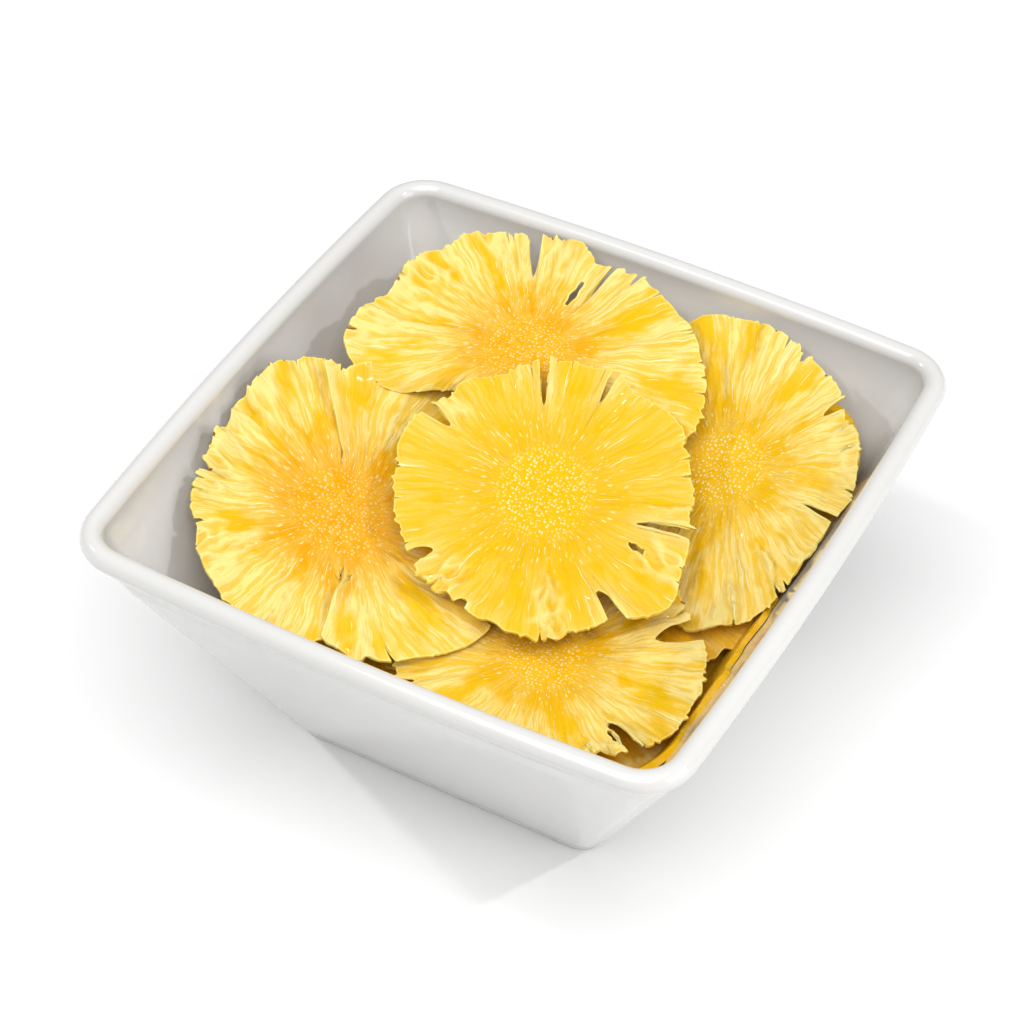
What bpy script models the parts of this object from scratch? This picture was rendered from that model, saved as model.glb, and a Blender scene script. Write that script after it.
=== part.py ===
"""Pineapple carpaccio: thin round slices of peeled pineapple, laid over one another in a deep square bowl.

Metres, +Z up. The origin is on the table under the middle of the bowl, whose sides lie along X and Y.
Directions round a slice are bearings in degrees, counted from +X towards +Y.
"""
import bmesh
import bpy
import numpy as np

MM = 0.001

# --- the bowl's driving dimensions ---------------------------------------------------------------
BOWL_HEIGHT = 97 * MM
RIM_HALF = 95 * MM            # half the bowl's width, over the lip
RIM_CORNER = 15.8 * MM        # radius of the rim's corners
RIM_BOW = 2.2 * MM            # how far each side of the rim bows out between its corners
LIP_RADIUS = 3.3 * MM         # the rolled lip is round in section
LIP_NECK = 0.7 * MM           # hollow under the lip, where the roll runs into the wall
NECK_HEIGHT = 4 * MM          # height of that hollow
WALL = 4.7 * MM               # level thickness of the wall
WALL_FLARE = 0.485            # the wall leans out this much for each unit of height
WALL_BASE_HALF = 49.5 * MM    # half-width where the wall's outer face would meet the table
FOOT_HALF = 50.0 * MM
FOOT_HEIGHT = 3.0 * MM
FOOT_CORNER = 7.0 * MM        # radius of the foot's corners
FOOT_ROUND = 1.6 * MM         # rounding of its lower edge
FOOT_BEND = ((0.4, -0.8), (1.3, 0.6))   # how it bends out into the wall: mm out, mm above the foot
FOOT_RING = 6.0 * MM          # width of the flat ring that the bowl stands on
FOOT_RECESS = 1.5 * MM        # depth of the hollow inside that ring
FLOOR_TOP = 8.0 * MM
FLOOR_FILLET = 9.0 * MM
INSIDE_CORNER = 9.0 * MM
SIDE_STEPS = 4                # facets along one side of a ring
CORNER_STEPS = 6              # facets round one corner of a ring

# --- the slices' driving dimensions --------------------------------------------------------------
THICK = 2.2 * MM              # how thin a carpaccio is cut
AIR = 0.9 * MM                # space left between one slice and the next
SETTLE = 3.0 * MM             # how gently a slice bends where it comes to lie on another
DROOP_SETTLE = 12.0 * MM      # and where it droops at a free side
WALL_AIR = 1.0 * MM           # space left between the food and the bowl
HOLD_BACK = 0.25 * MM         # step by which an edge is drawn back from the wall
RIM_CHAMFER = 0.35 * MM       # a cut edge is a little smaller on top
WAVE = 0.35 * MM              # unevenness of a cut edge
RING_STEPS = 44               # directions round a slice, before those that its cuts add
CUT_STEPS = (-1, -0.85, 0, 0.85, 1)   # directions across a cut, in half-widths
CUT_CLEAR = 1.35              # the even directions keep this many half-widths off a cut
SHARES = (0.0, 0.3, 0.56, 0.8, 1.0)   # where the rings of a slice lie, from core to edge

# Each slice, from the lowest to the top one: its core on the plan, how it would lie by itself as
# (height at the core, rise towards +X, rise towards +Y) or None when it only follows what is under
# it, the bend of a drooping side as (bearing of that side, where it starts, droop), its edge as
# {bearing: radius}, and its cuts as (bearing, radius that the cut reaches in to, half-width in degrees).
SLICES = {
    "slice_low_left": {
        "core": (-33, -22), "rest": None, "droop": None,
        "edge": {0: 42, 60: 44, 120: 46, 180: 45, 230: 47, 300: 45},
        "cuts": [(150, 36, 4)],
    },
    "slice_low_front": {
        "core": (28, -40), "rest": (12, 0.70, -0.70), "droop": None,
        "edge": {0: 46, 60: 43, 120: 44, 180: 46, 240: 44, 290: 47, 320: 58, 340: 52},
        "cuts": [(200, 36, 4)],
    },
    "slice_low_right": {
        "core": (27, 8), "rest": None, "droop": None,
        "edge": {0: 43, 60: 46, 120: 44, 180: 43, 240: 45, 300: 42},
        "cuts": [(20, 36, 3)],
    },
    "slice_right": {
        "core": (43, 41), "rest": (73, 0.10, 0.42), "droop": None,
        "edge": {0: 39, 25: 37, 60: 38, 80: 39, 100: 45, 125: 50, 150: 47, 180: 42, 230: 43, 270: 44,
                 290: 49, 305: 47, 320: 42, 340: 38},
        "cuts": [(48, 30, 1.5), (352, 26, 2), (80, 36, 1.5)],
    },
    "slice_front": {
        "core": (27, -36), "rest": (57, 0.02, 0.03), "droop": None,
        "edge": {0: 43, 15: 45, 60: 42, 160: 42, 240: 42, 300: 41, 320: 38, 340: 43},
        "cuts": [(41, 31, 5), (334, 29, 2.5), (220, 37, 2)],
    },
    "slice_left": {
        "core": (-45, -26), "rest": (70, -0.46, 0.12), "droop": None,
        "edge": {0: 56, 20: 50, 50: 50, 75: 53, 90: 55, 100: 49, 110: 43, 130: 49, 160: 42, 185: 38,
                 215: 41, 260: 45, 285: 44, 300: 41, 320: 49, 340: 54},
        "cuts": [(119, 21, 1.5), (302, 23, 1.5), (202, 36, 2), (226, 39, 1)],
    },
    "slice_back": {
        "core": (-24, 45), "rest": (88, -0.04, 0.03), "droop": (300, 8, 0.35),
        "edge": {0: 56, 20: 52, 50: 43, 80: 38, 105: 42, 130: 47, 180: 46, 210: 53, 220: 48, 235: 29,
                 250: 21, 265: 23, 285: 30, 310: 44, 335: 53},
        "cuts": [(115, 30, 2.5), (75, 27, 1.5), (63, 37, 1)],
    },
    "slice_top": {
        "core": (4, 4), "rest": (76, -0.16, 0.30), "droop": None,
        "edge": {0: 46, 30: 42, 60: 44, 80: 41, 105: 43, 140: 39, 180: 43, 210: 43, 230: 42, 275: 44,
                 300: 47, 315: 45, 340: 50},
        "cuts": [(118, 26, 2.5), (88, 32, 2), (8, 28, 2), (325, 34, 3), (266, 40, 2.5), (237, 35, 3.5),
                 (172, 33, 2.5)],
    },
}

# --- the slices hidden under these, as one solid --------------------------------------------------
HEAP_LEVEL = 42.0 * MM        # its top in the middle of the bowl
HEAP_RISE_RIGHT = (40 * MM, 40 * MM, 57 * MM, 0.06, 0.42)     # x, y, height there, rise to +X, to +Y
HEAP_RISE_LEFT = (-45 * MM, -22 * MM, 51 * MM, -0.46, 0.12)
HEAP_SETTLE = 6.0 * MM
HEAP_HIGHEST = 81.0 * MM      # it stays this low beside the wall
HEAP_CORNER = 27.0 * MM       # radius of its corners, in the bowl's corners
HEAP_ROUNDEST = 0.6           # and the most that this is of its half-width
HEAP_STEPS = 48
HEAP_LAYERS = 7               # cut edges that show down its side
HEAP_STAGGER = 1.1 * MM       # how far every other edge stands back
HEAP_SHARES = (0.93, 0.75, 0.5, 0.25)   # where its top's rings lie, from the side to the middle
HEAP_TRIES = 12               # steps to find where its leaning top meets the wall

PORCELAIN = ((0.90, 0.89, 0.87), 0.12)     # base colour and roughness
FLESH_TOP = ((0.95, 0.66, 0.03), 0.30)
FLESH_UNDER = ((0.88, 0.52, 0.02), 0.35)


# --- the bowl -------------------------------------------------------------------------------------
def wall_outside(z):
    """Half-width of the wall's outer face at height z."""
    return WALL_BASE_HALF + WALL_FLARE * z


def wall_inside(z):
    """Half-width of the free space inside the bowl at height z, up to the lip."""
    return np.minimum(wall_outside(z) - WALL, RIM_HALF - 2 * LIP_RADIUS)


def square_ring(half, corner, bow, z):
    """A square with round corners and slightly bowed sides, as points going round from -X-Y."""
    chord = half - corner
    bow = max(bow, 0.02 * MM)
    side_radius = (chord * chord + bow * bow) / (2 * bow)
    lean = np.pi / 4 + np.arcsin((half - side_radius) / (np.sqrt(2) * (side_radius - corner)))
    pivot = (side_radius - corner) * np.sin(lean)
    points = []
    for quarter in range(4):
        turn = quarter * np.pi / 2
        outline = []
        for angle in np.linspace(-lean, lean, SIDE_STEPS + 1)[:-1]:
            outline.append((side_radius * np.sin(angle), side_radius - half - side_radius * np.cos(angle)))
        for angle in np.linspace(lean, np.pi / 2 - lean, CORNER_STEPS + 1)[:-1]:
            outline.append((pivot + corner * np.sin(angle), -pivot - corner * np.cos(angle)))
        for x, y in outline:
            points.append((x * np.cos(turn) - y * np.sin(turn), x * np.sin(turn) + y * np.cos(turn), z))
    return points


def bowl_rings():
    """The bowl's section from the middle of its underside, up its outside, over the lip and down inside."""
    lip_bottom = BOWL_HEIGHT - 2 * LIP_RADIUS
    rings = []

    def ring(half, z, corner, bow):
        rings.append(square_ring(half, corner, bow, z))

    def share(z):
        return min(z / lip_bottom, 1.0)

    def outer(half, z):
        corner = FOOT_CORNER + (RIM_CORNER - FOOT_CORNER) * share(z)
        ring(half, z, corner - (wall_outside(z) - half if z > FOOT_HEIGHT else 0), RIM_BOW * share(z))

    def inner(half, z):
        ring(half, z, INSIDE_CORNER, RIM_BOW * share(z))

    ring_corner = FOOT_CORNER - FOOT_RING / 3
    ring(FOOT_HALF - FOOT_RING - FOOT_RECESS, FOOT_RECESS, ring_corner, 0)
    ring(FOOT_HALF - FOOT_RING, 0, ring_corner, 0)
    for angle in np.radians((0, 45, 90)):
        outer(FOOT_HALF - FOOT_ROUND * (1 - np.sin(angle)), FOOT_ROUND * (1 - np.cos(angle)))
    for out, above in FOOT_BEND:
        outer(FOOT_HALF + out * MM, FOOT_HEIGHT + above * MM)
    neck_bottom = lip_bottom - NECK_HEIGHT
    for z in (FOOT_HEIGHT + NECK_HEIGHT, 0.5 * BOWL_HEIGHT, neck_bottom - 2 * NECK_HEIGHT):
        outer(wall_outside(z), z)
    outer(wall_outside(neck_bottom) - LIP_NECK, neck_bottom)
    outer(wall_outside(lip_bottom) - LIP_NECK / 2, lip_bottom)

    lip_half = RIM_HALF - LIP_RADIUS
    for angle in np.radians((-40, -5, 30, 62, 90, 118, 150, 180)):
        half = lip_half + LIP_RADIUS * np.cos(angle)
        ring(half, BOWL_HEIGHT - LIP_RADIUS + LIP_RADIUS * np.sin(angle),
             RIM_CORNER - (RIM_HALF - half), RIM_BOW)

    fillet_top = FLOOR_TOP + FLOOR_FILLET
    for z in (lip_bottom, 0.55 * BOWL_HEIGHT, fillet_top):
        inner(wall_inside(z), z)
    floor_half = wall_inside(fillet_top) - FLOOR_FILLET
    for angle in np.radians((30, 60, 90)):
        inner(floor_half + FLOOR_FILLET * np.cos(angle), fillet_top - FLOOR_FILLET * np.sin(angle))
    return rings


def make_bowl():
    mesh = bmesh.new()
    loops = [[mesh.verts.new(point) for point in ring] for ring in bowl_rings()]
    count = len(loops[0])
    for lower, upper in zip(loops, loops[1:]):
        for i in range(count):
            j = (i + 1) % count
            mesh.faces.new((lower[i], lower[j], upper[j], upper[i]))
    mesh.faces.new(list(reversed(loops[0])))
    mesh.faces.new(loops[-1])
    return finish("bowl", mesh, PORCELAIN, sharp=40)


# --- how the slices lie ---------------------------------------------------------------------------
def smooth_max(a, b, blend):
    """The higher of two heights, with a soft bend where they meet. It is never lower than either."""
    return 0.5 * (a + b + np.sqrt((a - b) ** 2 + blend * blend))


def heap_top(x, y):
    """Top of the hidden slices: level in the middle, and leaning up the bowl at the back and the left."""
    height = HEAP_LEVEL + 0 * x
    for x0, y0, z0, rise_x, rise_y in (HEAP_RISE_RIGHT, HEAP_RISE_LEFT):
        height = smooth_max(height, z0 + rise_x * (x - x0) + rise_y * (y - y0), HEAP_SETTLE)
    return height


def own_height(spec, x, y):
    """How high a slice would lie by itself: a leaning plane, with one side that may droop."""
    dx = x - spec["core"][0] * MM
    dy = y - spec["core"][1] * MM
    level, rise_x, rise_y = spec["rest"]
    height = level * MM + rise_x * dx + rise_y * dy
    if spec["droop"]:
        bearing, start, droop = spec["droop"]
        out = dx * np.cos(np.radians(bearing)) + dy * np.sin(np.radians(bearing)) - start * MM
        height = height - droop * smooth_max(out, 0 * out, DROOP_SETTLE)
    return height


def lie(name, x, y):
    """Height of the middle of a slice, which bends over all the slices under it."""
    height = heap_top(x, y)
    lift = AIR + THICK / 2
    for other, spec in SLICES.items():
        height = height + lift
        if spec["rest"]:
            height = smooth_max(height, own_height(spec, x, y), SETTLE)
        if other == name:
            return height
        lift = AIR + THICK
    raise KeyError(name)


# --- the slices' outlines --------------------------------------------------------------------------
def between(table, bearing):
    """A smooth closed curve through {bearing: value}."""
    keys = sorted(table)
    count = len(keys)
    bearing = bearing % 360
    last = max([i for i in range(count) if keys[i] <= bearing], default=count - 1)
    start = keys[last]
    span = (keys[(last + 1) % count] - start) % 360
    share = ((bearing - start) % 360) / span
    a, b, c, d = (table[keys[(last + k) % count]] for k in (-1, 0, 1, 2))
    before = (start - keys[(last - 1) % count]) % 360
    after = (keys[(last + 2) % count] - keys[(last + 1) % count]) % 360
    slope_b = (c - a) / (span + before) * span
    slope_c = (d - b) / (span + after) * span
    s2 = share * share
    s3 = s2 * share
    return ((2 * s3 - 3 * s2 + 1) * b + (s3 - 2 * s2 + share) * slope_b
            + (3 * s2 - 2 * s3) * c + (s3 - s2) * slope_c)


def edge_radius(spec, bearing):
    """Radius of a slice's edge, with its waves and its cuts, each a rounded notch."""
    radius = between(spec["edge"], bearing) * MM
    turn = np.radians(bearing)
    radius += WAVE * (np.sin(7 * turn + spec["core"][0]) + np.sin(11 * turn + spec["core"][1]))
    for middle, inner, half_width in spec["cuts"]:
        off = abs((bearing - middle + 180) % 360 - 180) / half_width
        if off < 1:
            radius -= (radius - inner * MM) * (1 - off * off) ** 0.5
    return radius


def bearings(spec):
    """Even steps round the slice, with closer ones across each cut."""
    steps = {round(k * 360 / RING_STEPS, 3) for k in range(RING_STEPS)}
    for middle, _, half_width in spec["cuts"]:
        clear = CUT_CLEAR * half_width
        steps = {step for step in steps if abs((step - middle + 180) % 360 - 180) > clear}
        for share in CUT_STEPS:
            steps.add(round((middle + share * half_width) % 360, 3))
    return sorted(steps)


def inside_bowl(x, y, z):
    """How far a point is inside the bowl's inner face: negative when it is in the wall."""
    half = wall_inside(z)
    corner = half - INSIDE_CORNER
    far, near = max(abs(x), abs(y)), min(abs(x), abs(y))
    if near > corner:
        return INSIDE_CORNER - np.hypot(far - corner, near - corner) - RIM_BOW
    return half - RIM_BOW * (near / corner) ** 2 - far


def slice_reach(name, spec, bearing):
    """Radius of the edge, held back where the bowl's wall is in the way."""
    turn = np.radians(bearing)

    def room(radius):
        x = spec["core"][0] * MM + radius * np.cos(turn)
        y = spec["core"][1] * MM + radius * np.sin(turn)
        return inside_bowl(x, y, lie(name, x, y) - THICK / 2)

    radius = edge_radius(spec, bearing)
    while room(radius) < WALL_AIR:
        radius -= HOLD_BACK
    return radius


def make_slice(name, spec, flesh):
    mesh = bmesh.new()
    core_x, core_y = (value * MM for value in spec["core"])
    turns = bearings(spec)
    reach = [slice_reach(name, spec, bearing) for bearing in turns]

    def sheet(side):
        """One face of the slice: a fan round the core and then rings out to the edge."""
        rings = []
        for share in SHARES[1:]:
            ring = []
            for bearing, radius in zip(turns, reach):
                far = radius - (RIM_CHAMFER if side > 0 and share == 1 else 0)
                x = core_x + share * far * np.cos(np.radians(bearing))
                y = core_y + share * far * np.sin(np.radians(bearing))
                ring.append(mesh.verts.new((x, y, lie(name, x, y) + side * THICK / 2)))
            rings.append(ring)
        middle = mesh.verts.new((core_x, core_y, lie(name, core_x, core_y) + side * THICK / 2))
        return middle, rings

    def quad(a, b, c, d, flip):
        mesh.faces.new((d, c, b, a) if flip else (a, b, c, d))

    count = len(turns)
    faces = {side: sheet(side) for side in (1, -1)}
    for side, (middle, rings) in faces.items():
        for i in range(count):
            j = (i + 1) % count
            corners = (middle, rings[0][i], rings[0][j])
            mesh.faces.new(corners if side > 0 else tuple(reversed(corners)))
            for near, far in zip(rings, rings[1:]):
                quad(near[i], far[i], far[j], near[j], side < 0)
    top_edge = faces[1][1][-1]
    bottom_edge = faces[-1][1][-1]
    for i in range(count):
        j = (i + 1) % count
        quad(top_edge[i], bottom_edge[i], bottom_edge[j], top_edge[j], False)
    return finish(name, mesh, flesh, sharp=50)


# --- the hidden slices ------------------------------------------------------------------------------
def heap_reach(turn, z, stand_back):
    """Distance from the bowl's axis to the heap's side, which fills the bowl but for its corners."""
    half = wall_inside(z) - WALL_AIR - stand_back
    corner = min(HEAP_CORNER, HEAP_ROUNDEST * half)
    c, s = abs(np.cos(turn)), abs(np.sin(turn))
    straight = half / max(c, s)
    if min(c, s) * straight <= half - corner:
        return straight
    pivot = half - corner
    along = pivot * (c + s)
    return along + np.sqrt(along * along - 2 * pivot * pivot + corner * corner)


def make_heap():
    mesh = bmesh.new()
    turns = [2 * np.pi * k / HEAP_STEPS for k in range(HEAP_STEPS)]
    bottom = FLOOR_TOP + WALL_AIR
    tops = []
    for turn in turns:
        z = HEAP_LEVEL
        for _ in range(HEAP_TRIES):
            r = heap_reach(turn, z, 0)
            z = min(float(heap_top(r * np.cos(turn), r * np.sin(turn))), HEAP_HIGHEST)
        tops.append((r, z))

    def side_ring(level):
        ring = []
        for turn, (r, z) in zip(turns, tops):
            height = z + (bottom - z) * level / HEAP_LAYERS
            stand_back = HEAP_STAGGER if level % 2 else 0
            fillet = max(0.0, FLOOR_TOP + FLOOR_FILLET - height)
            back = stand_back + fillet * fillet / (2 * FLOOR_FILLET)
            reach = heap_reach(turn, height, back)
            ring.append(mesh.verts.new((reach * np.cos(turn), reach * np.sin(turn), height)))
        return ring

    sides = [side_ring(level) for level in range(HEAP_LAYERS + 1)]
    rings = []
    for share in HEAP_SHARES:
        ring = []
        for turn, (r, _) in zip(turns, tops):
            x = share * r * np.cos(turn)
            y = share * r * np.sin(turn)
            ring.append(mesh.verts.new((x, y, min(float(heap_top(x, y)), HEAP_HIGHEST))))
        rings.append(ring)
    middle = mesh.verts.new((0, 0, float(heap_top(0.0, 0.0))))
    loops = list(reversed(sides)) + rings
    for lower, upper in zip(loops, loops[1:]):
        for i in range(HEAP_STEPS):
            j = (i + 1) % HEAP_STEPS
            mesh.faces.new((lower[i], lower[j], upper[j], upper[i]))
    for i in range(HEAP_STEPS):
        mesh.faces.new((rings[-1][i], rings[-1][(i + 1) % HEAP_STEPS], middle))
    mesh.faces.new(list(reversed(sides[-1])))
    return finish("slices_beneath", mesh, FLESH_UNDER, sharp=35)


# --- objects and materials ----------------------------------------------------------------------------
def material(name, finish_values):
    colour, roughness = finish_values
    made = bpy.data.materials.new(name)
    made.use_nodes = True
    shader = made.node_tree.nodes["Principled BSDF"]
    shader.inputs["Base Color"].default_value = (*colour, 1.0)
    shader.inputs["Roughness"].default_value = roughness
    shader.inputs["Metallic"].default_value = 0.0
    return made


def finish(name, mesh, finish_values, sharp):
    """Turns a bmesh into a named object with its own material."""
    data = bpy.data.meshes.new(name)
    mesh.to_mesh(data)
    mesh.free()
    data.shade_smooth()
    data.set_sharp_from_angle(angle=np.radians(sharp))
    data.materials.append(material(name, finish_values))
    made = bpy.data.objects.new(name, data)
    bpy.context.collection.objects.link(made)
    return made


def main():
    for old in list(bpy.data.objects):
        bpy.data.objects.remove(old)
    make_bowl()
    make_heap()
    for name, spec in SLICES.items():
        make_slice(name, spec, FLESH_UNDER if "low" in name else FLESH_TOP)


main()
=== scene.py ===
# %% [markdown]
# # Pineapple carpaccio in a square bowl
#
# Round slices of peeled pineapple, cut about two millimetres thin, lie over one another in a deep
# square bowl of white porcelain. This lesson gives the plain solids of the bowl and the slices their
# real surfaces: the rolled lip and the glaze, and on the fruit the ragged rims, torn slits, curled
# lobes, pale fibres and the wet shine. The solids set every place and size, so that is where we start.

import bmesh
import bpy
import numpy as np
from mathutils import Matrix, Vector, kdtree, noise


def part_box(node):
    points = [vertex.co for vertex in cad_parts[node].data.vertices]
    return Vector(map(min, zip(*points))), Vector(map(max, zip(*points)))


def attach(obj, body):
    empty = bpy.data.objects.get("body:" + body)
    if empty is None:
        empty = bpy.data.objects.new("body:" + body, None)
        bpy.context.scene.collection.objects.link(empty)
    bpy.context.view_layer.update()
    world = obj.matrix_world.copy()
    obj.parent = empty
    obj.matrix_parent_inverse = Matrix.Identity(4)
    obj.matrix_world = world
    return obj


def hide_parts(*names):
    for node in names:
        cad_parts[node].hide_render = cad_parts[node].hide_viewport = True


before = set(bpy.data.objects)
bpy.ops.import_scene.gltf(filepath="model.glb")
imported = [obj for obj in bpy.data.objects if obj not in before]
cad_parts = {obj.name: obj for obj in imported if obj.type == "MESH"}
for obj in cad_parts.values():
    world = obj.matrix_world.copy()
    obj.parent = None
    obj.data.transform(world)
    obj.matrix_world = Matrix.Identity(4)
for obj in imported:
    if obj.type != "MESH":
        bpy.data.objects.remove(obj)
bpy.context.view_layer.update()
MM = 0.001

# %% [markdown]
# ## Helpers for modelling
#
# Both the bowl and a slice are closed rings of points, one after another. By hand we would add a
# circle and extrude it, then scale each new ring into place. ring_by_ring does the same: it adds the
# circle, numbers its points going round, extrudes ring after ring, and puts each new ring where a
# formula says. The numbers go along with every extrusion, so each point knows its own place.

# %% Extrude a shape ring by ring
def select_only(thing):
    """The operators act on all that is selected, so only one thing is."""
    bpy.ops.object.select_all(action="DESELECT")
    thing.select_set(True)
    bpy.context.view_layer.objects.active = thing


def ring_by_ring(name, rings, close_first, close_last):
    """rings is a list of arrays of points, all as long, from the first ring to the last."""
    steps = len(rings[0])
    bpy.ops.object.select_all(action="DESELECT")
    bpy.ops.mesh.primitive_circle_add(vertices=steps, radius=1, fill_type="NOTHING")
    thing = bpy.context.object
    thing.name = name
    thing.data.name = name
    bpy.ops.object.mode_set(mode="EDIT")
    bpy.ops.mesh.select_all(action="SELECT")
    mesh = bmesh.from_edit_mesh(thing.data)
    step = mesh.verts.layers.int.new("step")
    ring = mesh.verts.layers.int.new("ring")
    round_turn = 2 * np.pi
    for point in mesh.verts:
        point[step] = round(np.arctan2(point.co.y, point.co.x) % round_turn / round_turn * steps) % steps
    for number, places in enumerate(rings):
        if number:
            bpy.ops.mesh.extrude_edges_move()
            mesh = bmesh.from_edit_mesh(thing.data)
            step = mesh.verts.layers.int["step"]
            ring = mesh.verts.layers.int["ring"]
        for point in mesh.verts:
            if point.select:
                point.co = places[point[step]]
                point[ring] = number
        if number == 0 and close_first:
            bpy.ops.mesh.edge_face_add()
    if close_last:
        bpy.ops.mesh.edge_face_add()
        bpy.ops.mesh.poke()
    bpy.ops.mesh.select_all(action="SELECT")
    bpy.ops.mesh.normals_make_consistent(inside=False)
    bpy.ops.object.mode_set(mode="OBJECT")
    return thing


def smooth_up_to(thing, angle):
    """Shades a finished piece smooth but for edges sharper than angle, and drops the ring numbers."""
    for helper in ("step", "ring"):
        thing.data.attributes.remove(thing.data.attributes[helper])
    thing.data.shade_smooth()
    thing.data.set_sharp_from_angle(angle=np.radians(angle))


def polar_ring(reach, turn, z):
    """Points at a distance reach from the axis, in the directions turn."""
    return np.stack([reach * np.cos(turn), reach * np.sin(turn), z], axis=1)


def points_of(data):
    places = np.zeros(len(data.vertices) * 3)
    data.vertices.foreach_get("co", places)
    return places.reshape(-1, 3)


def triangles(thing):
    thing.data.calc_loop_triangles()
    return len(thing.data.loop_triangles)


# %% [markdown]
# ## The bowl
#
# A porcelain bowl like this one is slip-cast: liquid clay sets against a plaster mould, so the sides
# bow out a little, every corner is round, and the top edge is rolled outwards so that it doesn't chip.
# It could be a cube, bevelled and hollowed, but then the bow of the sides and the hollow under the lip
# would need hand work. We go round its section instead: from under the foot, up the outside, over the
# lip and down the inside, and each step of that walk is one square ring with round corners.

# %% The bowl's sizes
BOWL_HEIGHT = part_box("bowl")[1].z
RIM_HALF = 95 * MM
RIM_CORNER = 15.8 * MM
RIM_BOW = 2.2 * MM
LIP_RADIUS = 3.3 * MM
LIP_NECK = 0.7 * MM
LIP_FROM = -20
NECK_HEIGHT = 4 * MM
WALL = 4.7 * MM
WALL_FLARE = 0.485
WALL_BASE_HALF = 49.5 * MM
FOOT_HALF = 50.0 * MM
FOOT_HEIGHT = 3.0 * MM
FOOT_CORNER = 7.0 * MM
FOOT_ROUND = 1.6 * MM
FOOT_BEND = ((0.1, -0.9), (0.4, -0.3), (0.9, 0.4), (1.4, 1.2), (2.0, 2.2))
FOOT_RING = 6.0 * MM
FOOT_RECESS = 1.5 * MM
FLOOR_TOP = 8.0 * MM
FLOOR_FILLET = 9.0 * MM
INSIDE_CORNER = 9.0 * MM
SIDE_STEPS = 30
CORNER_STEPS = 26
LIP_STEPS = 22
print("bowl:", round(2 * RIM_HALF / MM), "mm wide,", round(BOWL_HEIGHT / MM), "mm high")


# %% One square ring with round corners and bowed sides
def wall_outside(z):
    """Half-width of the wall's outer face at height z."""
    return WALL_BASE_HALF + WALL_FLARE * z


def wall_inside(z):
    """Half-width of the free space inside the bowl at height z, up to the lip."""
    return np.minimum(wall_outside(z) - WALL, RIM_HALF - 2 * LIP_RADIUS)


def square_ring(half, corner, bow, z):
    """Each side is an arc of a wide circle, and each corner an arc that it runs into smoothly."""
    chord = half - corner
    bow = max(bow, 0.02 * MM)
    side_radius = (chord * chord + bow * bow) / (2 * bow)
    lean = np.pi / 4 + np.arcsin((half - side_radius) / (np.sqrt(2) * (side_radius - corner)))
    pivot = (side_radius - corner) * np.sin(lean)
    side = np.linspace(-lean, lean, SIDE_STEPS + 1)[:-1]
    bend = np.linspace(lean, np.pi / 2 - lean, CORNER_STEPS + 1)[:-1]
    x = np.concatenate([side_radius * np.sin(side), pivot + corner * np.sin(bend)])
    y = np.concatenate([side_radius - half - side_radius * np.cos(side), -pivot - corner * np.cos(bend)])
    quarters = []
    for turn in np.arange(4) * np.pi / 2:
        quarters.append(np.stack([x * np.cos(turn) - y * np.sin(turn), x * np.sin(turn) + y * np.cos(turn),
                                  np.full(len(x), z)], axis=1))
    return np.concatenate(quarters)


print("points round one ring:", len(square_ring(RIM_HALF, RIM_CORNER, RIM_BOW, 0)))


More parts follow.
